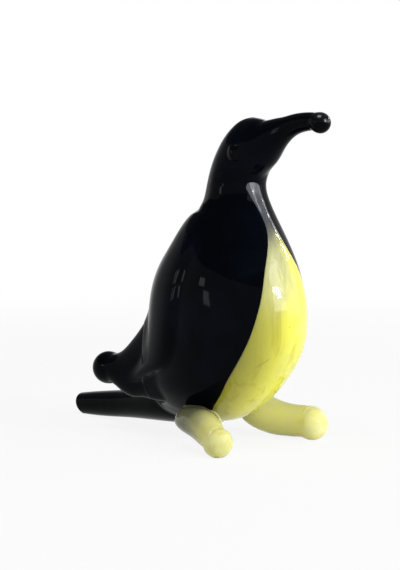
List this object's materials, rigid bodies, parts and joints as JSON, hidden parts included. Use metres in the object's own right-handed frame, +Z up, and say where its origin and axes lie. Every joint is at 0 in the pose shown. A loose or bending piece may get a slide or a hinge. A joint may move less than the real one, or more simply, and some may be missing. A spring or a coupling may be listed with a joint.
{
  "type": "penguin figurine",
  "caption": "Glossy lampworked glass penguin with a long ball-tipped beak, a yellow belly, stub wings, splayed ball feet and a rod tail that props it up.",
  "frame": {"origin": "on the floor, under the middle of the bounding box", "axes": "+Z up; the penguin faces -Y, its left side is +X and its tail points to +Y"},
  "size_m": [0.0298, 0.0656, 0.0592],
  "materials": {
    "black_glass": "fire-polished, glossy, bluish black",
    "eye_glass": "fire-polished, glossy black",
    "smoke_glass": "fire-polished, glossy, dark smoky grey",
    "yellow_glass": "fire-polished, glossy, opal yellow",
    "pale_yellow_glass": "fire-polished, glossy, milky pale yellow"
  },
  "bodies": {
    "root": {"body": "black_glass", "belly": "yellow_glass", "beak": "black_glass", "right_eye": "eye_glass", "left_eye": "eye_glass", "right_wing": "black_glass", "left_wing": "black_glass", "right_foot": "pale_yellow_glass", "left_foot": "pale_yellow_glass", "tail": "smoke_glass"}
  },
  "joints": []
}
